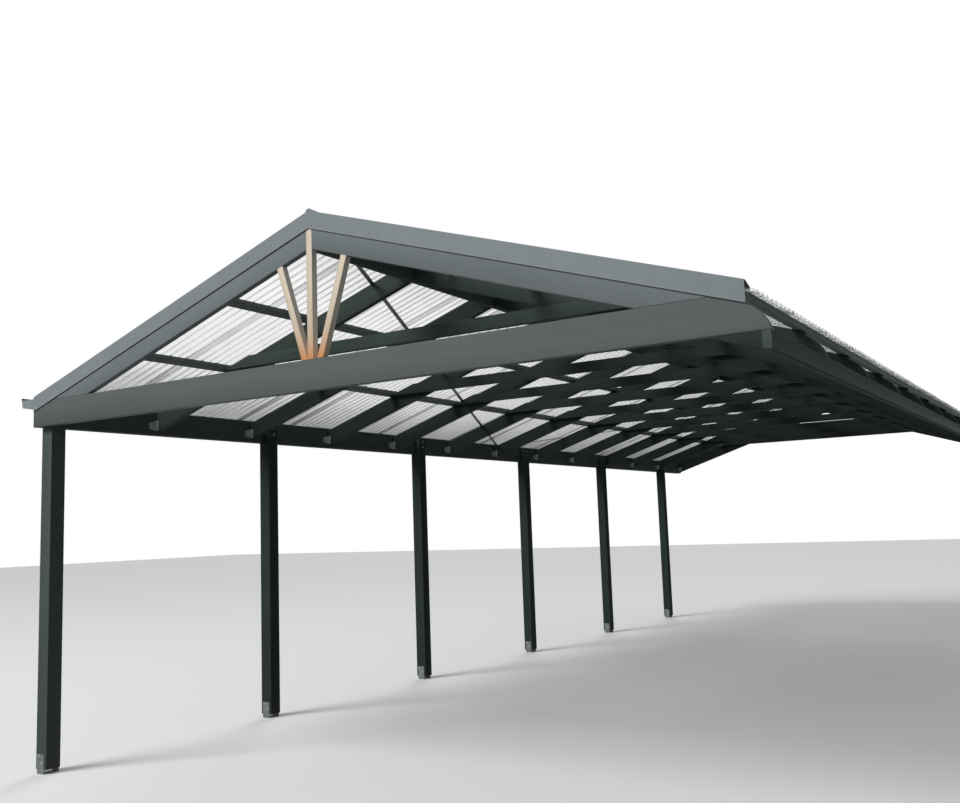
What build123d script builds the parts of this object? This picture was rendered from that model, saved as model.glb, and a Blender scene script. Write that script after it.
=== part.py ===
from build123d import *
import math
import os

# A timber gable carport, open on all sides. Six posts carry a thick beam along the left eave. On the
# right the rafters sit on a ledger that is screwed to a wall, so there are no posts there. Corrugated
# clear sheets on battens cover both slopes, with folded steel capping round the edges.
# Millimetres, +Z up. The origin is on the ground under the middle of the front post. +Y runs back.

# Posts and their feet
post = 115.0
post_count = 6
first_bay = 2240.0
bay = 2380.0
rear_overhang = 940.0
foot_gap = 30.0
tongue_drop = 22.0
stirrup_plate = 5.0
stirrup_width = 75.0
stirrup_height = 135.0

# Eave beam, tie beam and ledger
board = 45.0
beam_depth = 190.0
beam_thick = 90.0
beam_overhang = 45.0
beam_underside = 2465.0
ledger_depth = 90.0
wall_gap = 90.0
relief_width = 110.0
relief_height = 132.0
relief_bulge = 21.0

# Roof frame
half_span = 2665.0
pitch = 18.0
rafter_depth = 140.0
first_rafter = 1000.0
rafter_spacing = 1070.0
collar_depth = 90.0
collar_rise = 245.0
strap_width = 30.0
strap_thick = 1.0
strap_ridge_inset = 310.0
strap_eave_gap = 80.0

# Battens
batten_width = 70.0
batten_thick = 35.0
batten_names = ["lower", "upper", "ridge"]
first_batten = 925.0
ridge_batten_inset = 100.0
eave_batten_inset = 5.0

# Sheets
sheet_thick = 1.0
wave_pitch = 76.2
wave_depth = 17.0
first_sheet_waves = 8
waves_per_sheet = 9
lap_waves = 1
sheet_overhang = 50.0
sheet_wall_gap = 75.0
ridge_gap = 12.0

# Capping
flashing = 1.0
seat = 0.3
barge_face = 105.0
barge_rise = 85.0
barge_drip = 6.0
barge_top = 22.0
barge_wing = 110.0
roll_radius = 25.0
roll_neck = 8.0
ridge_wing = 150.0

# Gutter
gutter_width = 150.0
gutter_lip_rise = 54.0
gutter_back = 42.0
gutter_fall = 20.0
gutter_lean = 10.0
gutter_corner = 22.0
gutter_lip = 14.0
gutter_stop_drop = 16.0

# Gable fan
fan_width = 45.0
fan_right_gap = 30.0

# Framing anchors
anchor_leg = 62.0
anchor_height = 80.0
anchor_tip = 45.0
anchor_return = 40.0
anchor_thick = 1.2
anchor_lift = 15.0

# How far a cutting block reaches past what it cuts
clear = 500.0

slope = math.tan(math.radians(pitch))
plumb = 1.0 / math.cos(math.radians(pitch))
slope_length = half_span * plumb
rafter_lift = rafter_depth * plumb

eave_x = -post / 2
beam_outer = eave_x - beam_overhang
beam_inner = beam_outer + beam_thick
ridge_x = eave_x + half_span
wall_x = ridge_x + half_span + wall_gap
relief_x = wall_x - relief_width

# The sheets' underside meets the beam's top over the posts' outer faces, and the battens and straps
# lie between the sheets and the rafters.
beam_top = beam_underside + beam_depth
sheet_seat = strap_thick + batten_thick
rafter_top = beam_top - sheet_seat * plumb
shoulder = (beam_top - rafter_top) / slope
sheet_crest = sheet_seat + wave_depth + sheet_thick + seat

front_y = -post / 2
gable_front = front_y - board
post_fronts = [front_y] + [front_y + first_bay + bay * k for k in range(post_count - 1)]
rear_y = post_fronts[-1] + post + rear_overhang

# The rafters are spread evenly from the first one to the rear, as near to their usual spacing as fits.
rafter_run = rear_y - board - (front_y + first_rafter)
rafter_gaps = round(rafter_run / rafter_spacing)
rafter_fronts = [front_y + first_rafter + rafter_run * k / rafter_gaps for k in range(rafter_gaps + 1)]


def roof(x):
    """Height of the rafters' top plane over x, on either slope."""
    return rafter_top + (half_span - abs(x - ridge_x)) * slope


def block(x0, x1, y0, y1, z0, z1):
    return Pos((x0 + x1) / 2, (y0 + y1) / 2, (z0 + z1) / 2) * Box(x1 - x0, y1 - y0, z1 - z0)


def across(outline, y0, y1):
    """A board whose outline is given in x and z, from y0 back to y1."""
    face = make_face(Polyline(*[(x, y0, z) for x, z in outline], close=True))
    return extrude(face, amount=y1 - y0, dir=(0, 1, 0))


def on_slope(solid):
    """From slope coordinates (up the slope, along the roof, off the rafters) to the left slope."""
    return Pos(eave_x, 0, rafter_top) * Rot(0, -pitch, 0) * solid


def up_slope(x):
    """Distance up the left slope of a place that is given in x."""
    return (x - eave_x) * plumb


def to_right(solid):
    return mirror(solid, about=Plane(origin=(ridge_x, 0, 0), z_dir=(1, 0, 0)))


def mirrored(x):
    return 2 * ridge_x - x


def save(name, solids):
    solids = solids if isinstance(solids, list) else [solids]
    shape = solids[0] if len(solids) == 1 else Compound(children=solids)
    export_step(shape, f"parts/{name}.step")


def make_tongue(y):
    """The inner part of a post, which runs up behind the beam."""
    return block(beam_inner, eave_x + post, y, y + post, beam_underside, beam_top - tongue_drop)


def make_post(y):
    """The outer part stops under the beam, and the rest is its tongue."""
    body = block(eave_x, eave_x + post, y, y + post, foot_gap, beam_underside)
    return body + make_tongue(y)


def posts_between(start, end):
    """The fronts of the posts that reach into this stretch of the beam."""
    return [front for front in post_fronts if start - post < front < end]


def make_stirrup(y):
    """A plate on the ground and one under the post, joined by a cheek in front and one behind."""
    x0 = -stirrup_width / 2
    x1 = stirrup_width / 2
    outer0 = y - stirrup_plate
    outer1 = y + post + stirrup_plate
    stirrup = block(x0, x1, outer0, outer1, 0, stirrup_plate)
    stirrup += block(x0, x1, outer0, outer1, foot_gap - stirrup_plate, foot_gap)
    stirrup += block(x0, x1, outer0, y, 0, stirrup_height)
    stirrup += block(x0, x1, y + post, outer1, 0, stirrup_height)
    return stirrup


def make_eave_beam():
    """Half housed in the posts. The outer half of its top is planed to the slope, under the sheets."""
    outline = [
        (beam_outer, beam_underside),
        (beam_inner, beam_underside),
        (beam_inner, beam_top),
        (eave_x, beam_top),
        (beam_outer, beam_top - beam_overhang * slope),
    ]
    save("left_eave_beam", across(outline, front_y, rear_y))


def make_ledger():
    return block(wall_x - board, wall_x, gable_front, rear_y, beam_underside - ledger_depth, beam_underside)


def make_ridge_board():
    """Its top is planed to both slopes and carries the sheets' upper ends."""
    half = board / 2
    peak = roof(ridge_x) + sheet_seat * plumb
    outline = [
        (ridge_x - half, peak - beam_depth),
        (ridge_x + half, peak - beam_depth),
        (ridge_x + half, peak - half * slope),
        (ridge_x, peak),
        (ridge_x - half, peak - half * slope),
    ]
    save("ridge_board", across(outline, front_y, rear_y))


def make_wall_relief():
    """What is cut off the timbers by the wall: a plumb cut and then a rounded end down to the wall."""
    start = Vector(relief_x, gable_front - clear, beam_underside + relief_height)
    end = Vector(wall_x, gable_front - clear, beam_underside)
    chord = end - start
    normal = Vector(-chord.Z, 0, chord.X).normalized()
    middle = (start + end) * 0.5 + normal * relief_bulge
    high = beam_top + clear
    far = wall_x + clear
    corners = [start, (relief_x, start.Y, high), (far, start.Y, high), (far, start.Y, end.Z), end]
    face = make_face([*Polyline(*corners).edges(), ThreePointArc(end, middle, start)])
    return extrude(face, amount=rear_y - gable_front + 2 * clear, dir=(0, 1, 0))


def make_tie_beam(relief):
    outline = [
        (beam_outer, beam_underside),
        (beam_outer, roof(beam_outer)),
        (eave_x + shoulder, beam_top),
        (mirrored(eave_x + shoulder), beam_top),
        (wall_x, roof(wall_x)),
        (wall_x, beam_underside),
    ]
    save("gable_tie_beam", across(outline, gable_front, front_y) - relief)


def make_gable_rafters():
    """They stand on the tie beam and butt against the sides of the middle piece of the fan."""
    head = ridge_x - fan_width / 2
    outline = [
        (eave_x + shoulder, beam_top),
        (eave_x + shoulder + rafter_lift / slope, beam_top),
        (head, roof(head) - rafter_lift),
        (head, roof(head)),
    ]
    left = across(outline, gable_front, front_y)
    save("gable_rafter_left", left)
    save("gable_rafter_right", to_right(left))


def make_rafters(relief, ledger):
    """The left feet butt against the eave beam, or a post's tongue where one is in the way. The right
    feet are notched over the ledger."""
    head = ridge_x - board / 2
    left_outline = [
        (beam_inner, roof(beam_inner) - rafter_lift),
        (head, roof(head) - rafter_lift),
        (head, roof(head)),
        (beam_inner, roof(beam_inner)),
    ]
    right_head = mirrored(head)
    right_outline = [
        (right_head, roof(right_head) - rafter_lift),
        (wall_x, roof(wall_x) - rafter_lift),
        (wall_x, roof(wall_x)),
        (right_head, roof(right_head)),
    ]
    lefts = []
    for y in rafter_fronts:
        left = across(left_outline, y, y + board)
        for front in posts_between(y, y + board):
            left -= make_tongue(front)
        lefts.append(left)
    save("rafters_left", lefts)
    trimmed = across(right_outline, 0, board) - relief - ledger
    save("rafters_right", [Pos(0, y, 0) * trimmed for y in rafter_fronts])


def make_collar_ties():
    """One on the front face of each pair of rafters, its ends cut to the roof's slope."""
    low = beam_top + collar_rise
    high = low + collar_depth
    low_x = eave_x + (low - rafter_top) / slope
    high_x = eave_x + (high - rafter_top) / slope
    outline = [(low_x, low), (mirrored(low_x), low), (mirrored(high_x), high), (high_x, high)]
    save("collar_ties", [across(outline, y - board, y) for y in rafter_fronts])


def make_batten(middle):
    flat = block(middle - batten_width / 2, middle + batten_width / 2, gable_front, rear_y,
                 strap_thick, sheet_seat)
    return on_slope(flat)


def make_battens():
    last_batten = slope_length - ridge_batten_inset
    spacing = (last_batten - first_batten) / (len(batten_names) - 1)
    for k, name in enumerate(batten_names):
        left = make_batten(first_batten + spacing * k)
        save(f"batten_left_{name}", left)
        save(f"batten_right_{name}", to_right(left))
    # On the left the eave beam does this batten's work.
    eave_middle = up_slope(mirrored(relief_x)) + eave_batten_inset + batten_width / 2
    save("batten_right_eave", to_right(make_batten(eave_middle)))


def make_strap(u0, y0, u1, y1):
    run = math.hypot(u1 - u0, y1 - y0)
    turn = math.degrees(math.atan2(y1 - y0, u1 - u0))
    flat = Pos((u0 + u1) / 2, (y0 + y1) / 2, strap_thick / 2) * Rot(0, 0, turn)
    return on_slope(flat * Box(run, strap_width, strap_thick))


def make_straps():
    """Two on each slope, from the ends of the ridge down to the middle of the eave."""
    low = up_slope(beam_inner) + strap_width
    high = up_slope(ridge_x - board / 2) - strap_width
    middle = (front_y + rear_y) / 2
    front = make_strap(high, front_y + strap_ridge_inset, low, middle - strap_eave_gap / 2)
    rear = make_strap(high, rear_y - strap_ridge_inset, low, middle + strap_eave_gap / 2)
    save("strap_braces_left", [front, rear])
    save("strap_braces_right", [to_right(front), to_right(rear)])


def wave_line(start, stop, lift):
    """Underside of a corrugated sheet as (y, height) points. Each trough, side and crest is a flat."""
    flat = wave_pitch / 4
    crest = lift + wave_depth - sheet_thick
    points = []
    for k in range(start, stop):
        foot = gable_front + wave_pitch * k + flat / 2
        points += [(foot, lift), (foot + flat, crest), (foot + 2 * flat, crest), (foot + 3 * flat, lift)]
    return points


def make_sheet(start, stop, lift, eave_end):
    u0 = up_slope(eave_end)
    u1 = slope_length - ridge_gap
    under = wave_line(start, stop, lift)
    over = [(y, n + sheet_thick) for y, n in reversed(under)]
    face = make_face(Polyline(*[(u0, y, n) for y, n in under + over], close=True))
    return on_slope(extrude(face, amount=u1 - u0, dir=(1, 0, 0)))


def make_sheets(eave_end):
    """Every other sheet lies on its neighbours, one wave over each."""
    total = int((rear_y - gable_front) / wave_pitch)
    starts = [0] + list(range(first_sheet_waves, total, waves_per_sheet))
    stops = [start + lap_waves for start in starts[1:]] + [total]
    sheets = []
    for k, (start, stop) in enumerate(zip(starts, stops)):
        lift = sheet_seat + (k % 2) * (sheet_thick + seat)
        sheets.append(make_sheet(start, min(stop, total), lift, eave_end))
    return sheets


def roll_centre():
    """Height of the middle of the ridge cap's roll, which stands on the crest of its wings."""
    wing_top = roof(ridge_x) + (sheet_crest + seat + flashing) * plumb
    return wing_top - roll_neck * slope + math.sqrt(roll_radius**2 - roll_neck**2)


def make_barge_cap(end_x, front):
    """Capping up the left slope: a face with a drip fold, a flat top and a wing down to the sheets."""
    drop = barge_rise - barge_face
    crest = sheet_crest + seat
    section = [
        (barge_wing, crest + flashing),
        (barge_top, barge_rise + flashing),
        (-seat - flashing, barge_rise + flashing),
        (-seat - flashing, drop + barge_drip),
        (-seat - flashing - barge_drip, drop),
        (-seat - barge_drip, drop),
        (-seat, drop + barge_drip),
        (-seat, barge_rise),
        (barge_top, barge_rise),
        (barge_wing, crest),
    ]
    edge = gable_front if front else rear_y
    inward = 1 if front else -1
    u0 = up_slope(end_x) - barge_face
    u1 = slope_length + barge_face
    face = make_face(Polyline(*[(u0, edge + inward * y, n) for y, n in section], close=True))
    whole = on_slope(extrude(face, amount=u1 - u0, dir=(1, 0, 0)))
    cap = whole & block(end_x, ridge_x - seat / 2, gable_front - clear, rear_y + clear, 0, beam_top + half_span)
    # The top and the wing are notched for the ridge cap's roll, which starts behind the face.
    notch_length = barge_wing + 2 * seat
    notch_middle = edge + inward * (notch_length / 2 - seat)
    notch = Cylinder(roll_radius + seat, notch_length)
    return cap - Pos(ridge_x, notch_middle, roll_centre()) * Rot(90, 0, 0) * notch


def make_barge_caps():
    for name, front in (("front", True), ("rear", False)):
        save(f"barge_cap_{name}_left", make_barge_cap(beam_outer - flashing, front))
        save(f"barge_cap_{name}_right", to_right(make_barge_cap(mirrored(relief_x), front)))


def make_ridge_cap():
    """A roll on the crest, closed at its ends, with a wing down each slope, lying on the sheets."""
    middle = roll_centre()
    reach = ridge_wing / plumb
    inner_radius = roll_radius - flashing
    inner_neck = roll_neck - flashing
    under = roof(ridge_x) + (sheet_crest + seat) * plumb
    over = under + flashing * plumb
    outer_tip = (reach, over - reach * slope)
    outer_neck = (roll_neck, over - roll_neck * slope)
    inner_tip = (reach, under - reach * slope)
    inner_foot = (inner_neck, under - inner_neck * slope)
    inner_top = (inner_neck, middle - math.sqrt(inner_radius**2 - inner_neck**2))

    def at(point, side):
        return (ridge_x + side * point[0], gable_front, point[1])

    edges = [
        ThreePointArc(at(outer_neck, -1), at((0, middle + roll_radius), 1), at(outer_neck, 1)),
        ThreePointArc(at(inner_top, -1), at((0, middle + inner_radius), 1), at(inner_top, 1)),
    ]
    for side in (-1, 1):
        edges.append(Line(at(outer_neck, side), at(outer_tip, side)))
        edges.append(Line(at(outer_tip, side), at(inner_tip, side)))
        edges.append(Line(at(inner_tip, side), at(inner_foot, side)))
        edges.append(Line(at(inner_foot, side), at(inner_top, side)))
    cap = extrude(make_face(edges), amount=rear_y - gable_front, dir=(0, 1, 0))
    for y in (gable_front + flashing / 2, rear_y - flashing / 2):
        cap += Pos(ridge_x, y, middle) * Rot(90, 0, 0) * Cylinder(roll_radius, flashing)
    # At both ends only the roll runs on, so the wings stop at the barge caps' wings.
    wing_end = barge_wing + seat
    wing_top = over - roll_neck * slope
    for y0, y1 in ((gable_front - clear, gable_front + wing_end), (rear_y - wing_end, rear_y + clear)):
        cap -= block(ridge_x - clear, ridge_x + clear, y0, y1, 0, wing_top)
    save("ridge_cap", cap)


def make_gutter():
    """A folded trough on the beam's outer face, with a high front, a rolled-in lip and two stop ends."""
    back = beam_outer
    back_top = beam_top - beam_overhang * slope - 2 * seat
    lip_x = back - gutter_width
    lip_z = back_top + gutter_lip_rise
    front_x = lip_x + gutter_lean
    floor_back = back_top - gutter_back
    centre_x = front_x + gutter_corner
    centre_z = floor_back + gutter_fall + gutter_corner

    def at(x, z):
        return (x, gable_front, z)

    def corner(radius):
        """The rounded bottom corner, from the floor round to the front."""
        middle = radius * math.sqrt(0.5)
        return ThreePointArc(at(centre_x, centre_z - radius), at(centre_x - middle, centre_z - middle),
                             at(centre_x - radius, centre_z))

    def path(points):
        return [*Polyline(*[at(x, z) for x, z in points]).edges()]

    outer = corner(gutter_corner)
    inner = corner(gutter_corner - flashing)
    lip = [
        (front_x, centre_z),
        (lip_x, lip_z),
        (lip_x + gutter_lip, lip_z),
        (lip_x + gutter_lip, lip_z - flashing),
        (lip_x + flashing, lip_z - flashing),
        (front_x + flashing, centre_z),
    ]
    back_leg = [
        (centre_x, centre_z - gutter_corner + flashing),
        (back - flashing, floor_back + flashing),
        (back - flashing, back_top),
        (back, back_top),
        (back, floor_back),
        (centre_x, centre_z - gutter_corner),
    ]
    trough = make_face([outer, *path(lip), inner, *path(back_leg)])
    gutter = extrude(trough, amount=rear_y - gable_front, dir=(0, 1, 0))
    stop_top = lip_z - gutter_stop_drop
    stop_x = front_x - gutter_lean * (stop_top - centre_z) / (lip_z - centre_z)
    rim = [
        (front_x, centre_z),
        (stop_x, stop_top),
        (back, stop_top),
        (back, floor_back),
        (centre_x, centre_z - gutter_corner),
    ]
    stop = extrude(make_face([outer, *path(rim)]), amount=flashing, dir=(0, 1, 0))
    gutter += stop
    gutter += Pos(0, rear_y - gable_front - flashing, 0) * stop
    save("eave_gutter", gutter)


def make_fan_side(gap):
    """A bare piece square to the left gable rafter, from the tie beam up to the rafter's underside."""
    foot_run = half_span - fan_width / 2 - gap + slope * (beam_top - rafter_top)
    edge = foot_run / plumb
    whole = block(edge - fan_width, edge, gable_front, front_y, -half_span, -rafter_depth)
    return on_slope(whole) & block(eave_x, ridge_x, gable_front, front_y, beam_top, beam_top + half_span)


def make_fan():
    half = fan_width / 2
    outline = [
        (ridge_x - half, beam_top),
        (ridge_x + half, beam_top),
        (ridge_x + half, roof(ridge_x + half)),
        (ridge_x, roof(ridge_x)),
        (ridge_x - half, roof(ridge_x - half)),
    ]
    save("gable_fan_centre", across(outline, gable_front, front_y))
    save("gable_fan_left", make_fan_side(0))
    save("gable_fan_right", to_right(make_fan_side(fan_right_gap)))


def make_anchors():
    """Folded plates in the corners between the eave beam and the rafters' front faces. Where a post
    takes that corner the plate goes behind the rafter, or onto the post if it takes both."""
    taper = (anchor_height - anchor_tip) / 2
    anchors = []
    for y in rafter_fronts:
        corner, way, seat_x = y, -1, beam_inner
        if posts_between(y - anchor_leg, y):
            if posts_between(y + board, y + board + anchor_leg):
                seat_x = eave_x + post
            else:
                corner, way = y + board, 1
        tip = corner + way * anchor_leg
        low = roof(seat_x) - rafter_lift + anchor_lift
        high = low + anchor_height
        outline = [(corner, low), (corner, high), (tip, high - taper), (tip, low + taper)]
        face = make_face(Polyline(*[(seat_x, py, z) for py, z in outline], close=True))
        leg = extrude(face, amount=anchor_thick, dir=(1, 0, 0))
        near, far = sorted((corner, corner + way * anchor_thick))
        anchors.append(leg + block(seat_x, seat_x + anchor_return, near, far, low, high))
    save("framing_anchors_left", anchors)


os.makedirs("parts", exist_ok=True)
for number, y in enumerate(post_fronts, 1):
    save(f"post_{number}", make_post(y))
    save(f"post_stirrup_{number}", make_stirrup(y))
wall_relief = make_wall_relief()
wall_ledger = make_ledger()
save("wall_ledger", wall_ledger)
make_eave_beam()
make_ridge_board()
make_tie_beam(wall_relief)
make_gable_rafters()
make_rafters(wall_relief, wall_ledger)
make_collar_ties()
make_battens()
make_straps()
save("roof_sheets_left", make_sheets(beam_outer - sheet_overhang))
save("roof_sheets_right", [to_right(s) for s in make_sheets(mirrored(wall_x - sheet_wall_gap))])
make_barge_caps()
make_ridge_cap()
make_gutter()
make_fan()
make_anchors()
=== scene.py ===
import math

import bmesh
import bpy
from mathutils import Matrix, Vector


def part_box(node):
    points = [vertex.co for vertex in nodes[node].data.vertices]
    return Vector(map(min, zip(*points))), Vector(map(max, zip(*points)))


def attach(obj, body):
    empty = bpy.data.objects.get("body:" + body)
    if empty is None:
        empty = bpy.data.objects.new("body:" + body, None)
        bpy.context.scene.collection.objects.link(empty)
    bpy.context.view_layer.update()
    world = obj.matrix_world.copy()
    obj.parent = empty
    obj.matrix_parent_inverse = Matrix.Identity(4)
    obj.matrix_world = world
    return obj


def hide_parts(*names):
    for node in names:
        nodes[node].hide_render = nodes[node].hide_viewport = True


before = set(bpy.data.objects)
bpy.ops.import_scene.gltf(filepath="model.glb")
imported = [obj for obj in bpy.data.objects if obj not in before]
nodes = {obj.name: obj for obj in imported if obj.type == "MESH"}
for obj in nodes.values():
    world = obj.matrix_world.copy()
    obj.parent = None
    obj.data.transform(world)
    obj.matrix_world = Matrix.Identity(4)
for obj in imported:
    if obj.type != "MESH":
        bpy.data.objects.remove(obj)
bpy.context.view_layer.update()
scene = bpy.context.scene
scene.view_settings.view_transform = "Standard"

# Camera
# It looks into the open gable from its right side, at eye height, with the picture tilted by two
# degrees. The lens is in millimetres on a picture 36 mm wide.
camera_place = Vector((6.609, -4.604, 1.618))
camera_yaw = 0.55875
camera_rise = 0.12477
camera_tilt = -0.0351
lens = 37.69
picture_width = 36.0
farthest_seen = 400.0


def in_scene(name, data):
    """A new object in the scene."""
    made = bpy.data.objects.new(name, data)
    scene.collection.objects.link(made)
    return made


camera_data = bpy.data.cameras.new("camera")
camera_data.lens = lens
camera_data.sensor_width = picture_width
camera_data.clip_end = farthest_seen
ahead = Vector((-math.sin(camera_yaw) * math.cos(camera_rise),
                math.cos(camera_yaw) * math.cos(camera_rise),
                math.sin(camera_rise)))
level = Vector((math.cos(camera_yaw), math.sin(camera_yaw), 0.0))
above = level.cross(ahead)
across = level * math.cos(camera_tilt) + above * math.sin(camera_tilt)
upward = above * math.cos(camera_tilt) - level * math.sin(camera_tilt)
looking = Matrix((across, upward, -ahead)).transposed().to_4x4()
camera = in_scene("camera", camera_data)
camera.matrix_world = Matrix.Translation(camera_place) @ looking
scene.camera = camera

# Posts
# Six square softwood posts, planed, with their arrises eased by hand, and brushed with two coats of
# grey exterior paint. The five under the roof have a darker copy of the paint than the front post, as
# painted shade for the roof over them. Rain has splashed a little earth on the lowest part of them all.
post_numbers = range(1, 7)
arris = 0.003
arris_turn = math.radians(12.0)
front_post_dark = (0.058, 0.076, 0.068)
front_post_light = (0.077, 0.098, 0.088)
# Painted shade: the posts under the roof take a darker copy of the front post's paint.
shaded_post_dark = (0.034, 0.048, 0.043)
shaded_post_light = (0.046, 0.064, 0.057)
weathered_gloss = 0.12
sheltered_gloss = 0.02
fibre_size = (0.35, 0.004)
brush_size = (0.60, 0.018)
patch_size = (0.90, 0.25)
knot_size = (0.26, 0.17)
paint_relief = 0.0009
splash_colour = (0.120, 0.100, 0.075)
splash_top = 0.24
splash_grain = 55.0
# Painted light on the front bay's paint ends between these depths back from the gable.
lightening_from = 0.95
lightening_to = 2.30
weld_distance = 1e-5
flat_turn = math.radians(0.5)


def add(tree, kind, inputs=None, **settings):
    """A node with its settings made and its sockets filled or linked."""
    made = tree.nodes.new(kind)
    for key, value in settings.items():
        setattr(made, key, value)
    for key, value in (inputs or {}).items():
        if isinstance(value, bpy.types.NodeSocket):
            tree.links.new(value, made.inputs[key])
        else:
            made.inputs[key].default_value = value
    return made


def reckoned(tree, operation, *values):
    """One step of arithmetic on numbers or sockets."""
    return add(tree, "ShaderNodeMath", dict(enumerate(values)), operation=operation).outputs[0]


def summed(tree, first, second, share=1.0):
    """first plus a share of second."""
    return reckoned(tree, "MULTIPLY_ADD", second, share, first)


def ranged(tree, value, low, high, out_low=0.0, out_high=1.0):
    """A number taken from one range to another, and kept inside it."""
    inputs = {"Value": value, "From Min": low, "From Max": high, "To Min": out_low, "To Max": out_high}
    return add(tree, "ShaderNodeMapRange", inputs).outputs[0]


def mixed(tree, amount, first, second, blend="MIX"):
    """A colour between two others."""
    values = {0: amount, 6: first, 7: second}
    for key, value in values.items():
        if isinstance(value, tuple):
            values[key] = (*value, 1.0)
    return add(tree, "ShaderNodeMix", values, data_type="RGBA", blend_type=blend).outputs[2]


def noise(tree, where, scale, detail, roughness=0.5, distortion=0.0):
    """Soft patches, from 0 to 1."""
    values = {"Vector": where, "Scale": scale, "Detail": detail, "Roughness": roughness,
              "Distortion": distortion}
    return add(tree, "ShaderNodeTexNoise", values).outputs[0]


def blank_material(name):
    """A material with only its shader, and the object's own coordinates."""
    material = bpy.data.materials.new(name)
    material.use_nodes = True
    tree = material.node_tree
    place = add(tree, "ShaderNodeTexCoord").outputs["Object"]
    return material, tree, tree.nodes["Principled BSDF"], place


def finished(tree, shader, colour, roughness, height, strength, depth):
    """Gives a surface its colour, its roughness and a fine relief of this depth."""
    bump = add(tree, "ShaderNodeBump", {"Strength": strength, "Distance": depth, "Height": height})
    tree.links.new(colour, shader.inputs["Base Color"])
    tree.links.new(roughness, shader.inputs["Roughness"])
    tree.links.new(bump.outputs[0], shader.inputs["Normal"])


def painted_wood(name, turn, dark, light, gloss=weathered_gloss, splashed=False, front_lightening=1.0):
    """Brushed paint over timber. turn brings X round to the grain; the front bay can be lightened, as
    painted light.
    """
    material, tree, shader, place = blank_material(name)

    def along_grain(size):
        length, width = size
        sizes = {"Vector": place, "Rotation": turn, "Scale": (length, width, width)}
        return add(tree, "ShaderNodeMapping", sizes, vector_type="TEXTURE").outputs[0]

    fibres = noise(tree, along_grain(fibre_size), 1.0, 4.0, roughness=0.6)
    brushing = noise(tree, along_grain(brush_size), 1.0, 3.0, distortion=0.4)
    patches = noise(tree, along_grain(patch_size), 1.0, 3.0)
    knots = add(tree, "ShaderNodeTexVoronoi", {"Vector": along_grain(knot_size), "Scale": 1.0})
    knot = ranged(tree, knots.outputs["Distance"], 0.03, 0.10, 1.0, 0.0)

    brushed = ranged(tree, brushing, 0.3, 0.7, 0.0, 0.55)
    patchy = ranged(tree, patches, 0.3, 0.7, 0.0, 0.45)
    colour = mixed(tree, summed(tree, brushed, patchy), dark, light)
    colour = mixed(tree, ranged(tree, knot, 0.0, 1.0, 0.0, 0.35), colour, dark)
    roughness = ranged(tree, brushing, 0.25, 0.75, 0.55, 0.72)
    parts = add(tree, "ShaderNodeSeparateXYZ", {0: place}).outputs
    # Painted light: the paint is lightened at the open front, less and less towards the rear.
    if front_lightening > 1.0:
        lightening = ranged(tree, parts[1], lightening_from, lightening_to, front_lightening, 1.0)
        lightening = add(tree, "ShaderNodeCombineXYZ", {0: lightening, 1: lightening, 2: lightening}).outputs[0]
        colour = mixed(tree, 1.0, colour, lightening, "MULTIPLY")
    if splashed:
        specks = noise(tree, place, splash_grain, 6.0, roughness=0.75)
        reach = ranged(tree, parts[2], 0.02, splash_top, 0.45, 0.0)
        splash = ranged(tree, summed(tree, reach, specks), 0.70, 0.98, 0.0, 0.45)
        colour = mixed(tree, splash, colour, splash_colour)
        roughness = summed(tree, roughness, splash, 0.35)
    shader.inputs["Specular IOR Level"].default_value = gloss
    grain = summed(tree, summed(tree, fibres, brushing, 0.7), knot, 0.8)
    finished(tree, shader, colour, roughness, grain, 0.55, paint_relief)
    return material


def coat(piece, finish):
    """Gives every face of a piece one finish."""
    piece.data.materials.clear()
    piece.data.materials.append(finish)
    for face in piece.data.polygons:
        face.material_index = 0


def dressed(node_name, finish):
    """A copy of a part's mesh as one skin of flat faces, smooth over its small bends."""
    shape = bmesh.new()
    shape.from_mesh(nodes[node_name].data)
    bmesh.ops.remove_doubles(shape, verts=shape.verts, dist=weld_distance)
    bmesh.ops.dissolve_limit(shape, angle_limit=flat_turn, verts=shape.verts, edges=shape.edges)
    mesh = bpy.data.meshes.new(f"dressed_{node_name}")
    shape.to_mesh(mesh)
    shape.free()
    mesh.shade_smooth()
    piece = in_scene(f"dressed_{node_name}", mesh)
    coat(piece, finish)
    return piece


def timber(node_name, finish, ease=arris):
    """A timber of the frame with its arrises eased."""
    piece = dressed(node_name, finish)
    rounding = piece.modifiers.new("arris", "BEVEL")
    rounding.width = ease
    rounding.segments = 2
    rounding.limit_method = "ANGLE"
    rounding.angle_limit = arris_turn
    rounding.harden_normals = True
    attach(piece, "root")
    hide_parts(node_name)
    return piece


grain_up = (0.0, math.radians(-90.0), 0.0)
# The five posts under the roof take the darker copy of the paint, as painted shade.
front_paint = painted_wood("front_post_paint", grain_up, front_post_dark, front_post_light, splashed=True)
shaded_post_paint = painted_wood("shaded_post_paint", grain_up, shaded_post_dark, shaded_post_light, sheltered_gloss,
                          splashed=True)
for number in post_numbers:
    timber(f"post_{number}", front_paint if number == 1 else shaded_post_paint)

# Steel feet
# Folded and welded plates, hot-dip galvanised, that hold each post just off the ground. Two coach
# bolts go through each cheek into the post.
# Two copies of the zinc: a dull one darkened further as painted shade, and a lighter one, painted light for
# the lit framing anchors and painted glints on the foot bolts.
dull_shaded_zinc_dark = (0.13, 0.15, 0.15)
dull_shaded_zinc_light = (0.24, 0.27, 0.27)
zinc_metal = 0.5
lit_zinc_dark = (0.34, 0.37, 0.37)
lit_zinc_light = (0.50, 0.53, 0.53)
lit_zinc_metal = 0.2
spangle_scale = 85.0
spangle_relief = 0.0004
dulling_scale = 9.0
washer_sides = 16
fixing_taper = 0.86
foot_bolt = {"head": 0.0085, "height": 0.0065, "washer": 0.012, "washer_height": 0.002}
foot_bolt_places = ((-0.020, 0.117), (0.018, 0.075))


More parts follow.
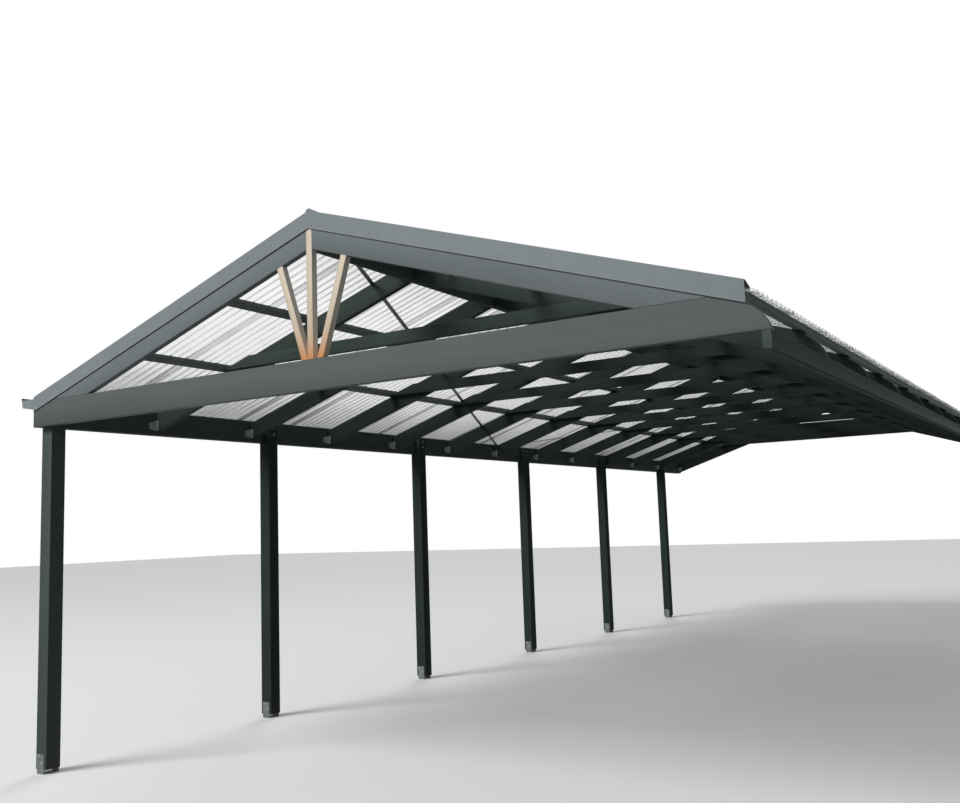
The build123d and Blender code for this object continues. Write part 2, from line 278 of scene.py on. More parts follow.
def galvanised(name, dark, light, metal):
    """Zinc with its spangle of crystals, dulled in patches."""
    material, tree, shader, place = blank_material(name)
    crystals = add(tree, "ShaderNodeTexVoronoi", {"Vector": place, "Scale": spangle_scale}).outputs["Color"]
    crystal = add(tree, "ShaderNodeSeparateColor", {0: crystals}).outputs[0]
    dulling = noise(tree, place, dulling_scale, 5.0)
    dulled = ranged(tree, dulling, 0.3, 0.7, 0.0, 0.5)
    tone = summed(tree, ranged(tree, crystal, 0.0, 1.0, 0.0, 0.5), dulled)
    roughness = ranged(tree, summed(tree, crystal, dulling), 0.2, 1.6, 0.42, 0.66)
    shader.inputs["Metallic"].default_value = metal
    finished(tree, shader, mixed(tree, tone, dark, light), roughness, crystal, 0.25, spangle_relief)
    return material


def new_tree(name, sockets):
    """A geometry tree with its named inputs, each given as a name, a kind and a value."""
    tree = bpy.data.node_groups.new(name, "GeometryNodeTree")
    for label, kind, value in sockets:
        socket = tree.interface.new_socket(label, in_out="INPUT", socket_type=f"NodeSocket{kind}")
        if value is not None:
            socket.default_value = value
    tree.interface.new_socket("Geometry", in_out="OUTPUT", socket_type="NodeSocketGeometry")
    return tree, tree.nodes.new("NodeGroupInput").outputs


def close_tree(tree, geometry, finish):
    """Ends a tree with its finish set."""
    coated = add(tree, "GeometryNodeSetMaterial", {"Geometry": geometry, "Material": finish})
    add(tree, "NodeGroupOutput", {0: coated.outputs[0]})


def grown(name, tree, values, mesh=None):
    """Runs a geometry tree and keeps what it makes as a plain mesh."""
    piece = in_scene(name, mesh or bpy.data.meshes.new(name))
    modifier = piece.modifiers.new("grow", "NODES")
    modifier.node_group = tree
    for item in tree.interface.items_tree:
        if item.in_out == "INPUT" and item.name in values:
            modifier[item.identifier] = values[item.name]
    graph = bpy.context.evaluated_depsgraph_get()
    made = bpy.data.meshes.new_from_object(piece.evaluated_get(graph))
    piece.modifiers.remove(modifier)
    piece.data = made
    return piece


def fixing_tree():
    """A washer with a head on it at every point, turned by chance. A nail's washer is its rim."""
    tree, given = new_tree("fixings", [
        ("Places", "Geometry", None),
        ("Head", "Float", 0.008),
        ("Height", "Float", 0.006),
        ("Sides", "Int", 6),
        ("Washer", "Float", 0.014),
        ("Washer Height", "Float", 0.002),
        ("Turn", "Vector", (0.0, 0.0, 0.0)),
        ("Seed", "Int", 1),
        ("Finish", "Material", None),
    ])

    def disc(sides, radius, height):
        top = reckoned(tree, "MULTIPLY", radius, fixing_taper)
        sizes = {"Vertices": sides, "Radius Top": top, "Radius Bottom": radius, "Depth": height}
        return add(tree, "GeometryNodeMeshCone", sizes).outputs[0]

    lift = add(tree, "ShaderNodeCombineXYZ", {2: given["Washer Height"]}).outputs[0]
    head = disc(given["Sides"], given["Head"], given["Height"])
    head = add(tree, "GeometryNodeTransform", {"Geometry": head, "Translation": lift}).outputs[0]
    fixing = add(tree, "GeometryNodeJoinGeometry", {0: head})
    tree.links.new(disc(washer_sides, given["Washer"], given["Washer Height"]), fixing.inputs[0])
    spin = add(tree, "FunctionNodeRandomValue", {3: math.tau, "Seed": given["Seed"]}, data_type="FLOAT")
    spun = add(tree, "ShaderNodeCombineXYZ", {2: spin.outputs[1]}).outputs[0]
    spun = add(tree, "FunctionNodeEulerToRotation", {0: spun}).outputs[0]
    faced = add(tree, "FunctionNodeEulerToRotation", {0: given["Turn"]}).outputs[0]
    turned = add(tree, "FunctionNodeRotateRotation", {0: faced, 1: spun}, rotation_space="LOCAL").outputs[0]
    placing = {"Points": given["Places"], "Instance": fixing.outputs[0], "Rotation": turned}
    fixed = add(tree, "GeometryNodeInstanceOnPoints", placing).outputs[0]
    real = add(tree, "GeometryNodeRealizeInstances", {0: fixed}).outputs[0]
    close_tree(tree, real, given["Finish"])
    return tree


def fixings(name, places, turn, sizes, finish=None):
    """Fixings of one kind at these places, of zinc unless given a finish. turn faces Z outwards."""
    points = bpy.data.meshes.new(f"{name}_places")
    points.from_pydata(places, [], [])
    values = {key.replace("_", " ").title(): size for key, size in sizes.items()}
    values.update({"Turn": turn, "Finish": finish or zinc})
    piece = grown(name, fixing, values, points)
    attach(piece, "root")
    return piece


face_front = (math.radians(90.0), 0.0, 0.0)
face_back = (math.radians(-90.0), 0.0, 0.0)
face_right = (0.0, math.radians(90.0), 0.0)
face_left = (0.0, math.radians(-90.0), 0.0)
fixing = fixing_tree()
zinc = galvanised("galvanised_steel", dull_shaded_zinc_dark, dull_shaded_zinc_light, zinc_metal)
lit_zinc = galvanised("lit_zinc", lit_zinc_dark, lit_zinc_light, lit_zinc_metal)
foot_boxes = [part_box(f"post_stirrup_{number}") for number in post_numbers]
for number in post_numbers:
    coat(nodes[f"post_stirrup_{number}"], zinc)
# The foot bolts take the lighter zinc, as painted glints.
for label, end, turn in (("front", 0, face_front), ("back", 1, face_back)):
    places = [(x, box[end].y, z) for box in foot_boxes for x, z in foot_bolt_places]
    fixings(f"foot_bolts_{label}", places, turn, foot_bolt, lit_zinc)

# Eave beam
# A thick softwood beam let half into the posts and bolted through each of them, one bolt above the
# other. It has the same paint as the posts, brushed along its length.
frame_paint_dark = (0.070, 0.090, 0.080)
frame_paint_light = (0.092, 0.116, 0.104)
beam_nut = {"head": 0.0085, "height": 0.0065, "washer": 0.0145, "washer_height": 0.002}
beam_bolt_head = {"head": 0.011, "height": 0.005, "sides": 14, "washer": 0.0145, "washer_height": 0.0015}
beam_bolt_inset = 0.065
beam_bolt_drops = (0.056, 0.112)
grain_back = (0.0, 0.0, math.radians(90.0))
long_paint = painted_wood("long_paint", grain_back, frame_paint_dark, frame_paint_light, sheltered_gloss)
timber("left_eave_beam", long_paint)
post_boxes = [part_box(f"post_{number}") for number in post_numbers]
beam_low, beam_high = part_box("left_eave_beam")
places = [(high.x, low.y + beam_bolt_inset, beam_high.z - drop)
          for low, high in post_boxes for drop in beam_bolt_drops]
fixings("beam_bolts_inside", places, face_right, beam_nut)
places = [(beam_low.x, low.y + beam_bolt_inset, beam_high.z - beam_bolt_drops[1]) for low, _ in post_boxes]
fixings("beam_bolts_outside", places, face_left, beam_bolt_head)

# Ledger and ridge board
# Two softwood boards. The ledger runs along the right side, carries the right rafters, and is held by
# two coach screws in every rafter bay. The ridge board stands between the rafters' heads, with its top
# planed to both slopes.
ledger_screw = {"head": 0.0095, "height": 0.007, "washer": 0.016, "washer_height": 0.002}
ledger_screw_places = ((0.25, 0.030), (0.78, 0.062))


def solid_boxes(node_name):
    """The boxes of the separate solids in a part, from front to back."""
    shape = bmesh.new()
    shape.from_mesh(nodes[node_name].data)
    bmesh.ops.remove_doubles(shape, verts=shape.verts, dist=weld_distance)
    waiting = set(shape.verts)
    boxes = []
    while waiting:
        solid = [waiting.pop()]
        for corner in solid:
            for edge in corner.link_edges:
                other = edge.other_vert(corner)
                if other in waiting:
                    waiting.remove(other)
                    solid.append(other)
        low = Vector(min(corner.co[axis] for corner in solid) for axis in range(3))
        high = Vector(max(corner.co[axis] for corner in solid) for axis in range(3))
        boxes.append((low, high))
    shape.free()
    return sorted(boxes, key=lambda box: box[0].y)


for name in ("wall_ledger", "ridge_board"):
    timber(name, long_paint)
rafter_boxes = solid_boxes("rafters_right")
ledger_low, ledger_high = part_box("wall_ledger")
places = [(ledger_low.x, low.y + back, ledger_high.z - drop)
          for low, _ in rafter_boxes[:-1] for back, drop in ledger_screw_places]
fixings("ledger_screws", places, face_left, ledger_screw)

# Front gable
# A softwood tie beam from the front post to the ledger, and two rafters that stand on it. They take
# the sun and the rain on the front, so their paint has gone chalky and lighter than the rest. The gable
# rafters' paint is lighter again: chalky, and painted light for the glare on the gable's front.
chalky_dark = (0.098, 0.118, 0.110)
chalky_light = (0.122, 0.142, 0.133)
# Painted light over chalky paint, for the glare on the gable.
chalk_and_glare_dark = (0.178, 0.206, 0.215)
chalk_and_glare_light = (0.214, 0.244, 0.254)
grain_across = (0.0, 0.0, 0.0)
pitch = math.radians(18.0)
slope_turns = {"left": (0.0, -pitch, 0.0), "right": (0.0, pitch, 0.0)}
timber("gable_tie_beam", painted_wood("tie_paint", grain_across, chalky_dark, chalky_light))
for side, turn in slope_turns.items():
    timber(f"gable_rafter_{side}", painted_wood(f"gable_{side}_paint", turn, chalk_and_glare_dark, chalk_and_glare_light))

# Rafters and collar ties
# Twelve pairs of softwood rafters, with a collar tie across the front of each pair, held at each end
# by three nails that are painted over. Their paint is a darker copy, as painted shade under the roof,
# and the first bay is lightened, as painted light from the open gable.
# A darker copy of the paint, as painted shade under the roof.
shaded_dark = (0.030, 0.041, 0.035)
shaded_light = (0.044, 0.057, 0.049)
first_bay_lightening = 1.7
flat_nail = {"head": 0.0036, "height": 0.0004, "sides": 8, "washer": 0.0045, "washer_height": 0.0008}
collar_nail_places = ((0.10, 0.018), (0.20, 0.045), (0.36, 0.066))
for side, turn in slope_turns.items():
    rafter_paint = painted_wood(f"{side}_rafter_paint", turn, shaded_dark, shaded_light, sheltered_gloss,
                                front_lightening=first_bay_lightening)
    timber(f"rafters_{side}", rafter_paint)
collar_paint = painted_wood("collar_paint", grain_across, shaded_dark, shaded_light, sheltered_gloss,
                            front_lightening=first_bay_lightening)
timber("collar_ties", collar_paint)
places = [(x, low.y, low.z + rise) for low, high in solid_boxes("collar_ties")
          for inset, rise in collar_nail_places for x in (low.x + inset, high.x - inset)]
fixings("collar_nails", places, face_front, flat_nail, collar_paint)

# Framing anchors
# Folded galvanised plates in the corners between the eave beam and the rafters. Three nails go through
# the leg on the beam and three through the return on the rafter.
anchor_thick = 0.0012
anchor_nail = {"head": 0.0036, "height": 0.0005, "sides": 8, "washer": 0.0045, "washer_height": 0.0012}
leg_nail_places = ((0.012, 0.040), (0.030, 0.028), (0.030, 0.052))
return_nail_places = ((0.016, 0.062), (0.028, 0.040), (0.016, 0.018))
# The anchors take the lighter zinc, as painted light.
coat(nodes["framing_anchors_left"], lit_zinc)
anchor_boxes = solid_boxes("framing_anchors_left")
places = [(low.x + anchor_thick, low.y + back, low.z + rise)
          for low, _ in anchor_boxes for back, rise in leg_nail_places]
fixings("anchor_nails_beam", places, face_right, anchor_nail)
places = [(low.x + inset, high.y - anchor_thick, low.z + rise)
          for low, high in anchor_boxes for inset, rise in return_nail_places]
fixings("anchor_nails_rafter", places, face_front, anchor_nail)

# Strap braces
# Thin galvanised strap laid flat across the tops of the rafters, in two lengths on each slope, with two
# nails at every rafter.
strap_width = 0.030
strap_nail_spread = 0.008
rafter_width = 0.045
batten_thick = 0.035
ridge_low, ridge_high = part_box("ridge_board")
ridge = Vector(((ridge_low.x + ridge_high.x) / 2, 0.0, ridge_high.z))


def down_slope(point):
    """How far a point lies down its slope from the ridge."""
    return abs(point.x - ridge.x) * math.cos(pitch) - (point.z - ridge.z) * math.sin(pitch)


def on_slope(side, down, back, height):
    """A point on one slope, from the ridge and the underside of the sheets."""
    turn, way = (-pitch, -1.0) if side == "left" else (pitch, 1.0)
    return ridge + Matrix.Rotation(turn, 3, "Y") @ Vector((way * down, back, height))


for side, turn in slope_turns.items():
    coat(nodes[f"strap_braces_{side}"], zinc)
    places = []
    for number, (low, high) in enumerate(solid_boxes(f"strap_braces_{side}")):
        inner, outer = (high.x, low.x) if side == "left" else (low.x, high.x)
        near_ridge = down_slope(Vector((inner, 0.0, high.z)))
        near_eave = down_slope(Vector((outer, 0.0, low.z)))
        run = math.hypot(near_eave - near_ridge, high.y - low.y)
        corner = strap_width / 2 * (high.y - low.y) / run
        ends = (near_ridge + corner, near_eave - corner)
        first, last = ends if number == 0 else reversed(ends)
        for rafter_low, _ in rafter_boxes:
            for nail in (-strap_nail_spread, strap_nail_spread):
                back = rafter_low.y + rafter_width / 2 + nail
                share = (back - low.y) / (high.y - low.y)
                if 0.0 < share < 1.0:
                    places.append(on_slope(side, first + (last - first) * share, back, -batten_thick))
    fixings(f"strap_nails_{side}", places, turn, flat_nail)

# Battens
# Softwood strips laid flat across the rafters, over the straps, with a countersunk screw at every
# rafter. They take the gable rafters' light paint: partly chalky where the sheets let the sun through,
# and partly painted light that lightens their shaded undersides.
batten_screw = {"head": 0.0028, "height": 0.0002, "sides": 6, "washer": 0.004, "washer_height": 0.0004}
batten_names = {
    "left": ["batten_left_lower", "batten_left_upper", "batten_left_ridge"],
    "right": ["batten_right_eave", "batten_right_lower", "batten_right_upper", "batten_right_ridge"],
}
# Painted light: the battens share the gable rafters' lightened paint.
batten_paint = painted_wood("batten_paint", grain_back, chalk_and_glare_dark, chalk_and_glare_light)


def middle_of(node_name):
    """The middle of a part's box."""
    low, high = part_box(node_name)
    return (low + high) / 2


for side, names in batten_names.items():
    for name in names:
        timber(name, batten_paint)
    places = [on_slope(side, down_slope(middle_of(name)), low.y + rafter_width / 2, 0.0)
              for name in names for low, _ in rafter_boxes]
    fixings(f"batten_screws_{side}", places, slope_turns[side], batten_screw)

# Roof sheets
# Corrugated sheets of clear plastic, each laid over or under its neighbours by one wave, from the
# gutter or the ledger up to the ridge. Screws with domed washers hold every second crest to the beam
# and the battens.
wave = 0.0762
wave_depth = 0.017
wave_steps = 16
edge_cut = 0.25
sheet_thick = 0.001
lap_lift = 0.0013
first_waves = 8
sheet_waves = 9
full_sheets = 17
last_waves = 7
total_waves = first_waves + full_sheets * sheet_waves + last_waves
sheet_runs = (
    (0, first_waves + 1, 1, 0),
    (first_waves, sheet_waves + 1, full_sheets, 1),
    (total_waves - last_waves, last_waves, 1, 0),
)
sheet_colour = (0.86, 0.90, 0.88)
haze_scale = 3.5
sheet_clear = 0.030
sheet_clouded = 0.060
# Haze that rises towards the rear of the roof, making the rear sheets darker from below.
sheet_rear_haze = 0.26
sheet_washed = 0.12
washed_from = 0.8
washed_to = 2.6
edge_on_from = 0.64
sheet_edge_on = 0.50
dust_colour = (0.46, 0.48, 0.44)
dust_width = 0.011
dust_cover = 0.22
lap_cover = 0.055
sheet_screw = {"head": 0.0055, "height": 0.005, "washer": 0.0125, "washer_height": 0.003}
sheet_screw_crests = 2
screw_sink = 0.0004
barge_crests = 2
beam_screw_inset = 0.020


def clear_plastic(name, front, rear):
    """Clear plastic with haze edge on, to the rear and at the eaves, and dust in its troughs and laps."""
    material, tree, shader, place = blank_material(name)
    haze = noise(tree, place, haze_scale, 5.0)
    parts = add(tree, "ShaderNodeSeparateXYZ", {0: place}).outputs
    along = reckoned(tree, "SUBTRACT", parts[1], front)
    from_ridge = reckoned(tree, "ABSOLUTE", reckoned(tree, "SUBTRACT", parts[0], ridge.x))
    from_trough = reckoned(tree, "PINGPONG", along, wave / 2)
    trough = ranged(tree, from_trough, 0.0, dust_width, 1.0, 0.0)
    dust = reckoned(tree, "MULTIPLY", trough, ranged(tree, haze, 0.35, 0.65, 0.35, 1.0))
    from_first = reckoned(tree, "SUBTRACT", along, first_waves * wave)
    from_lap = reckoned(tree, "FLOORED_MODULO", from_first, sheet_waves * wave)
    lapped = reckoned(tree, "LESS_THAN", from_lap, wave)
    slant = add(tree, "ShaderNodeLayerWeight", {"Blend": 0.5}).outputs["Facing"]
    cloud = ranged(tree, haze, 0.3, 0.7, sheet_clear, sheet_clouded)
    cloud = summed(tree, cloud, ranged(tree, along, 0.0, rear - front, 0.0, sheet_rear_haze))
    cloud = summed(tree, cloud, ranged(tree, from_ridge, washed_from, washed_to, 0.0, sheet_washed))
    cloud = summed(tree, cloud, dust, dust_cover)
    cloud = summed(tree, cloud, lapped, lap_cover)
    cloud = summed(tree, cloud, ranged(tree, slant, edge_on_from, 1.0, 0.0, sheet_edge_on))
    tree.links.new(mixed(tree, dust, sheet_colour, dust_colour), shader.inputs["Base Color"])
    tree.links.new(cloud, shader.inputs["Alpha"])
    tree.links.new(ranged(tree, haze, 0.3, 0.7, 0.08, 0.18), shader.inputs["Roughness"])
    return material


def sheet_tree():
    """Corrugated sheets side by side, with every other one lifted onto its neighbours."""
    tree, given = new_tree("sheets", [
        ("Sheets", "Int", 1),
        ("Waves", "Int", sheet_waves),
        ("Wave", "Float", wave),
        ("Rise", "Float", wave_depth - sheet_thick),
        ("Steps", "Int", wave_steps),
        ("Length", "Float", 1.0),
        ("From", "Float", 0.0),
        ("Front", "Float", 0.0),
        ("Step", "Float", 1.0),
        ("Lap Lift", "Float", lap_lift),
        ("Parity", "Int", 0),
        ("Turn", "Vector", (0.0, 0.0, 0.0)),
        ("Ridge", "Vector", (0.0, 0.0, 0.0)),
        ("Finish", "Material", None),
    ])

    def at(**parts):
        values = {"xyz".index(axis): value for axis, value in parts.items()}
        return add(tree, "ShaderNodeCombineXYZ", values).outputs[0]

    def moved(geometry, **moves):
        return add(tree, "GeometryNodeTransform", {"Geometry": geometry, **moves}).outputs[0]

    def raised(geometry, height):
        lift = {"Geometry": geometry, "Offset": at(z=height)}
        return add(tree, "GeometryNodeSetPosition", lift).outputs[0]

    whole = reckoned(tree, "MULTIPLY", given["Waves"], given["Wave"])
    width = reckoned(tree, "MULTIPLY_ADD", given["Wave"], -edge_cut, whole)
    rows = reckoned(tree, "MULTIPLY_ADD", given["Waves"], given["Steps"], 1.0)
    sizes = {"Size X": given["Length"], "Size Y": width, "Vertices X": 2, "Vertices Y": rows}
    flat = add(tree, "GeometryNodeMeshGrid", sizes).outputs[0]
    middle = at(x=reckoned(tree, "MULTIPLY_ADD", given["Length"], 0.5, given["From"]),
                y=reckoned(tree, "MULTIPLY", whole, 0.5))
    flat = moved(flat, Translation=middle)
    place = add(tree, "GeometryNodeInputPosition").outputs[0]
    along = add(tree, "ShaderNodeSeparateXYZ", {0: place}).outputs[1]
    angle = reckoned(tree, "DIVIDE", reckoned(tree, "MULTIPLY", along, math.tau), given["Wave"])
    swing = reckoned(tree, "SUBTRACT", 1.0, reckoned(tree, "COSINE", angle))
    sheet = raised(flat, reckoned(tree, "MULTIPLY", swing, reckoned(tree, "MULTIPLY", given["Rise"], 0.5)))
    first = at(y=given["Front"])
    row = {"Count": given["Sheets"], "Start Location": first, "Offset": at(y=given["Step"])}
    starts = add(tree, "GeometryNodeMeshLine", row).outputs[0]
    order = reckoned(tree, "ADD", add(tree, "GeometryNodeInputIndex").outputs[0], given["Parity"])
    lapping = reckoned(tree, "MODULO", order, 2.0)
    starts = raised(starts, reckoned(tree, "MULTIPLY", lapping, given["Lap Lift"]))
    laid = add(tree, "GeometryNodeInstanceOnPoints", {"Points": starts, "Instance": sheet}).outputs[0]
    laid = add(tree, "GeometryNodeRealizeInstances", {0: laid}).outputs[0]
    laid = moved(laid, Rotation=given["Turn"], Translation=given["Ridge"])
    close_tree(tree, laid, given["Finish"])
    return tree


def sheet_ends(side):
    """How far down the slope the sheets of one side begin and end."""
    low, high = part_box(f"roof_sheets_{side}")
    inner, outer = (high.x, low.x) if side == "left" else (low.x, high.x)
    highest_crest = wave_depth + lap_lift
    near = abs(inner - ridge.x) / math.cos(pitch)
    far = (abs(outer - ridge.x) - highest_crest * math.sin(pitch)) / math.cos(pitch)
    return near, far


def crest_place(side, down, crest):
    """The top of one crest of the sheets, on the upper sheet where two lap."""
    lifted = (crest - first_waves) % (2 * sheet_waves) <= sheet_waves
    height = wave_depth + (lap_lift if lifted else 0.0)
    return on_slope(side, down, gable_front + wave * (crest + 0.5), height - screw_sink)


gable_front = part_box("gable_tie_beam")[0].y
sheets = sheet_tree()
clear_sheet = clear_plastic("clear_sheet", gable_front, beam_high.y)
for side, turn in slope_turns.items():
    near, far = sheet_ends(side)
    shape = bmesh.new()
    for start, waves, count, parity in sheet_runs:
        run = grown(f"run_{start}", sheets, {
            "Sheets": count, "Waves": waves, "Wave": wave, "Rise": wave_depth - sheet_thick,
            "Steps": wave_steps, "Length": far - near, "From": -far if side == "left" else near,
            "Front": gable_front + wave * start, "Step": wave * sheet_waves, "Lap Lift": lap_lift,
            "Parity": parity, "Turn": turn, "Ridge": ridge, "Finish": clear_sheet})
        shape.from_mesh(run.data)
        bpy.data.objects.remove(run)
    mesh = bpy.data.meshes.new(f"clear_sheets_{side}")
    shape.to_mesh(mesh)
    shape.free()
    mesh.materials.append(clear_sheet)
    mesh.shade_smooth()
    piece = in_scene(f"clear_sheets_{side}", mesh)
    thickness = piece.modifiers.new("thickness", "SOLIDIFY")
    thickness.thickness = sheet_thick
    thickness.offset = 1.0
    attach(piece, "root")
    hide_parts(f"roof_sheets_{side}")
    lines = [down_slope(middle_of(name)) for name in batten_names[side] if not name.endswith("ridge")]
    if side == "left":
        lines.append((ridge.x - beam_low.x - beam_screw_inset) / math.cos(pitch))
    crests = range(barge_crests, total_waves - barge_crests + 1, sheet_screw_crests)
    places = [crest_place(side, down, crest) for down in lines for crest in crests]
    fixings(f"sheet_screws_{side}", places, turn, sheet_screw)

# Capping
# Folded from prepainted steel sheet, with a face over the gable rafters, a drip fold under it and a
# wing down to the sheets. The ridge cap has a round roll between its two wings.
capping_dark = (0.180, 0.212, 0.230)
capping_light = (0.222, 0.260, 0.280)
bulge_scale = 2.2
bulge_depth = 0.006
grime_scale = 14.0
fold_turn = math.radians(32.0)
capping_screw = {"head": 0.0055, "height": 0.005, "washer": 0.008, "washer_height": 0.002}
ridge_screw_crests = 4
ridge_wing_top = 0.0196
barge_screw_inset = 0.095
barge_screw_height = 0.0248
barge_wing_tilt = math.radians(19.0)
barge_screws_down = [0.25 + 0.45 * number for number in range(6)]


def coated_steel(name, dark, light):
    """Factory paint on thin steel that bulges very slightly between its folds."""
    material, tree, shader, place = blank_material(name)
    bulges = noise(tree, place, bulge_scale, 1.0)
    grime = noise(tree, place, grime_scale, 6.0, roughness=0.65)
    colour = mixed(tree, ranged(tree, grime, 0.35, 0.7), light, dark)
    finished(tree, shader, colour, ranged(tree, grime, 0.3, 0.7, 0.30, 0.44), bulges, 0.5, bulge_depth)
    return material


def folded_steel(node_name, finish):
    """A folded part with its folds left sharp and its rolled bends smooth."""
    piece = dressed(node_name, finish)
    piece.data.set_sharp_from_angle(angle=fold_turn)
    flats = piece.modifiers.new("flats", "WEIGHTED_NORMAL")
    flats.keep_sharp = True
    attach(piece, "root")
    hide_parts(node_name)


capping = coated_steel("capping", capping_dark, capping_light)
for end in ("front", "rear"):
    for side in slope_turns:
        folded_steel(f"barge_cap_{end}_{side}", capping)
folded_steel("ridge_cap", capping)
for side, turn in slope_turns.items():
    down = down_slope(middle_of(f"batten_{side}_ridge"))
    places = [on_slope(side, down, gable_front + wave * (crest + 0.5), ridge_wing_top)
              for crest in range(barge_crests, total_waves - barge_crests + 1, ridge_screw_crests)]
    fixings(f"ridge_screws_{side}", places, turn, capping_screw)
    for end, back, tilt in (("front", gable_front + barge_screw_inset, -barge_wing_tilt),
                            ("rear", beam_high.y - barge_screw_inset, barge_wing_tilt)):
        places = [on_slope(side, down, back, barge_screw_height) for down in barge_screws_down]
        fixings(f"barge_screws_{end}_{side}", places, (tilt, turn[1], 0.0), capping_screw)

# Gutter
# A folded trough with a high front, a lip turned in along its top and a stop at each end, hung on the
# outside of the eave beam. It is of the same prepainted steel as the capping.
gutter_steel = coated_steel("gutter_steel", capping_dark, capping_light)
folded_steel("eave_gutter", gutter_steel)

# Gable fan
# Three pieces of bare pine that stand in the gable, one upright and one leaning to each side. Their
# sawn sides have a greyer copy of the pine: a little real greying, and painted shade for the cast of the
# blue sky on the faces out of the sun. An orange stain has risen in them from the foot.
fan_arris = 0.0015
pine_light = (0.82, 0.72, 0.58)
pine_dark = (0.69, 0.55, 0.40)
# Painted shade: the greyer copy of the pine for the sides, out of the sun under a blue sky.
shade_greyed_light = (0.80, 0.77, 0.70)
shade_greyed_dark = (0.64, 0.59, 0.51)
pine_gloss = 0.2
pith_offset = Vector((0.02, 0.06, 0.0))
ring_width = 0.0042
ring_drift = 0.012
drift_scale = (1.4, 9.0, 9.0)
pine_fibre_scale = (4.0, 380.0, 380.0)
pine_relief = 0.0006
foot_stain = (0.84, 0.40, 0.16)
foot_stain_rise = 0.36
foot_stain_curve = 3.0
front_soaked = 1.05
side_soaked = 0.8
front_facing = -0.9


def bare_pine(name, turn, pith, foot, light, dark, soaked):
    """Sawn pine with its growth rings round a pith beside the piece, stained above its foot."""
    material, tree, shader, place = blank_material(name)

    def stretched(scale, detail):
        sized = add(tree, "ShaderNodeMapping", {"Vector": board, "Scale": scale}).outputs[0]
        return noise(tree, sized, 1.0, detail)

    sizes = {"Vector": place, "Location": pith, "Rotation": turn}
    board = add(tree, "ShaderNodeMapping", sizes, vector_type="TEXTURE").outputs[0]
    parts = add(tree, "ShaderNodeSeparateXYZ", {0: board}).outputs
    section = add(tree, "ShaderNodeCombineXYZ", {1: parts[1], 2: parts[2]}).outputs[0]
    radius = add(tree, "ShaderNodeVectorMath", {0: section}, operation="LENGTH").outputs["Value"]
    rings = summed(tree, radius, stretched(drift_scale, 3.0), ring_drift)
    late = ranged(tree, reckoned(tree, "PINGPONG", rings, ring_width), ring_width / 3, ring_width)
    fibres = stretched(pine_fibre_scale, 4.0)
    colour = mixed(tree, ranged(tree, late, 0.0, 1.0, 0.0, 0.7), light, dark)
    colour = mixed(tree, ranged(tree, fibres, 0.3, 0.7, 0.0, 0.25), colour, dark)
    height = add(tree, "ShaderNodeSeparateXYZ", {0: place}).outputs[2]
    nearness = ranged(tree, height, foot, foot + foot_stain_rise, soaked, 0.0)
    colour = mixed(tree, reckoned(tree, "POWER", nearness, foot_stain_curve), colour, foot_stain)
    shader.inputs["Specular IOR Level"].default_value = pine_gloss
    roughness = ranged(tree, fibres, 0.3, 0.7, 0.60, 0.78)
    finished(tree, shader, colour, roughness, summed(tree, fibres, late, 0.5), 0.4, pine_relief)
    return material


for name, lean in (("centre", 0.0), ("left", -pitch), ("right", pitch)):
    low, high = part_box(f"gable_fan_{name}")
    turn = (0.0, grain_up[1] + lean, 0.0)
    pith = (low + high) / 2 + pith_offset
    front = bare_pine(f"pine_{name}", turn, pith, low.z, pine_light, pine_dark, front_soaked)
    sides = bare_pine(f"pine_side_{name}", turn, pith, low.z, shade_greyed_light, shade_greyed_dark, side_soaked)
    piece = timber(f"gable_fan_{name}", front, fan_arris)
    # Faces that don't look out of the front take the greyer copy, as painted shade.
    piece.data.materials.append(sides)
    for face in piece.data.polygons:
        face.material_index = 0 if face.normal.y < front_facing else 1

# Floor and light
# A plain pale floor, an even pale surround and three soft lamps. A broad one and a weaker one stand
# high in front on the left, and the light of the broad one falls off towards the rear. The third
# stands behind, and is weaker still.
floor_half = 60.0
floor_colour = (0.80, 0.80, 0.79)
floor_bounce = (0.11, 0.11, 0.11)
floor_roughness = 0.9
surround_shown = 1.0
surround_light = 0.26
surround_colour = (0.96, 0.98, 1.0, 1.0)
white = (1.0, 1.0, 1.0, 1.0)
near_power = 2500.0
near_size = (12.0, 8.0)
far_strength = 1.3
rear_strength = 0.7
sun_spread = math.radians(25.0)
lamp_distance = 24.0
front_aim = (math.radians(43.0), math.radians(-28.0))
rear_aim = (math.radians(30.0), math.radians(205.0))


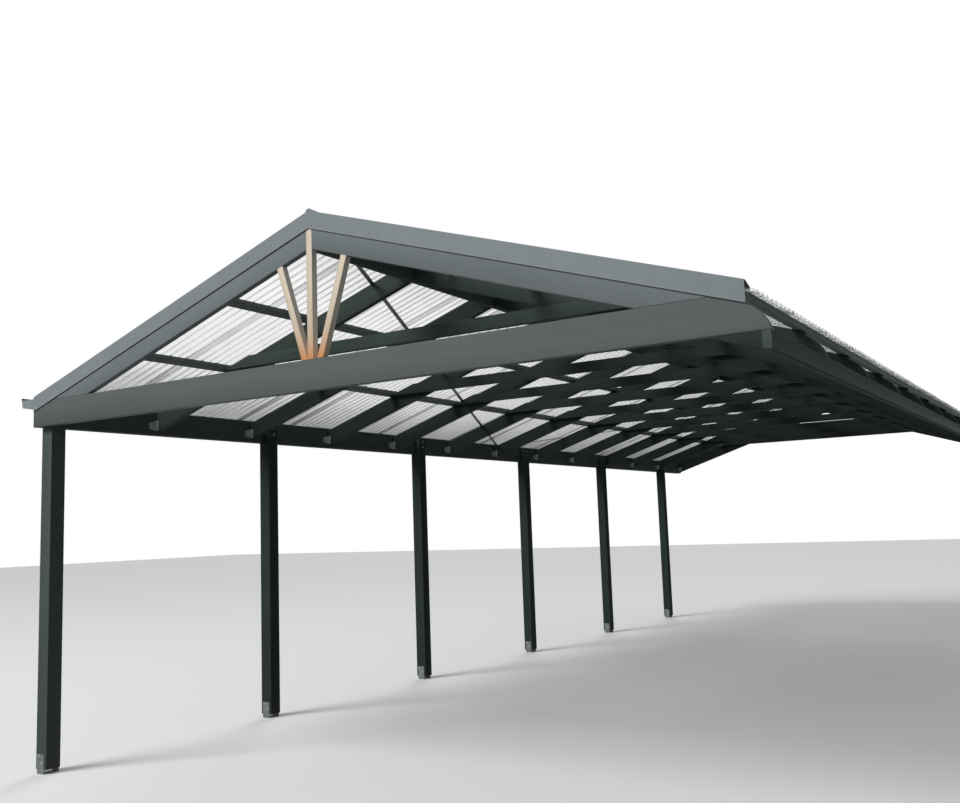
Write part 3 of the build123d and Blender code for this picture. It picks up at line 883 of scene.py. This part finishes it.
def seen_directly(tree):
    """1 for what the camera sees, in reflections and through clear things too, and 0 for all else."""
    path = add(tree, "ShaderNodeLightPath").outputs
    mirrored = reckoned(tree, "MAXIMUM", path["Is Camera Ray"], path["Is Glossy Ray"])
    return reckoned(tree, "MAXIMUM", mirrored, path["Is Transmission Ray"])


def lamp(name, kind, strength, aim, target):
    """A lamp that shines on its target from afar, at this rise and from this side."""
    rise, side = aim
    data = bpy.data.lights.new(name, kind)
    data.energy = strength
    towards = Vector((-math.sin(side) * math.cos(rise), math.cos(side) * math.cos(rise), -math.sin(rise)))
    facing = towards.to_track_quat("-Z", "Y").to_matrix().to_4x4()
    in_scene(name, data).matrix_world = Matrix.Translation(target - towards * lamp_distance) @ facing
    return data


floor_corners = [(-floor_half, -floor_half, 0.0), (floor_half, -floor_half, 0.0),
                 (floor_half, floor_half, 0.0), (-floor_half, floor_half, 0.0)]
floor_mesh = bpy.data.meshes.new("floor")
floor_mesh.from_pydata(floor_corners, [], [(0, 1, 2, 3)])
floor = in_scene("floor", floor_mesh)
floor_material, tree, shader, place = blank_material("floor")
tree.links.new(mixed(tree, seen_directly(tree), floor_bounce, floor_colour), shader.inputs["Base Color"])
shader.inputs["Roughness"].default_value = floor_roughness
floor_mesh.materials.append(floor_material)

world = bpy.data.worlds.new("surround")
world.use_nodes = True
scene.world = world
tree = world.node_tree
tree.nodes.clear()
shown = add(tree, "ShaderNodeBackground", {"Color": white, "Strength": surround_shown})
lit = add(tree, "ShaderNodeBackground", {"Color": surround_colour, "Strength": surround_light})
both = add(tree, "ShaderNodeMixShader", {0: seen_directly(tree), 1: lit.outputs[0], 2: shown.outputs[0]})
add(tree, "ShaderNodeOutputWorld", {0: both.outputs[0]})

gable_middle = Vector((ridge.x, gable_front, ridge.z / 2))
lamp("far_lamp", "SUN", far_strength, front_aim, gable_middle).angle = sun_spread
near_lamp = lamp("near_lamp", "AREA", near_power, front_aim, gable_middle)
near_lamp.shape = "RECTANGLE"
near_lamp.size, near_lamp.size_y = near_size
lamp("rear_lamp", "SUN", rear_strength, rear_aim, gable_middle).angle = sun_spread
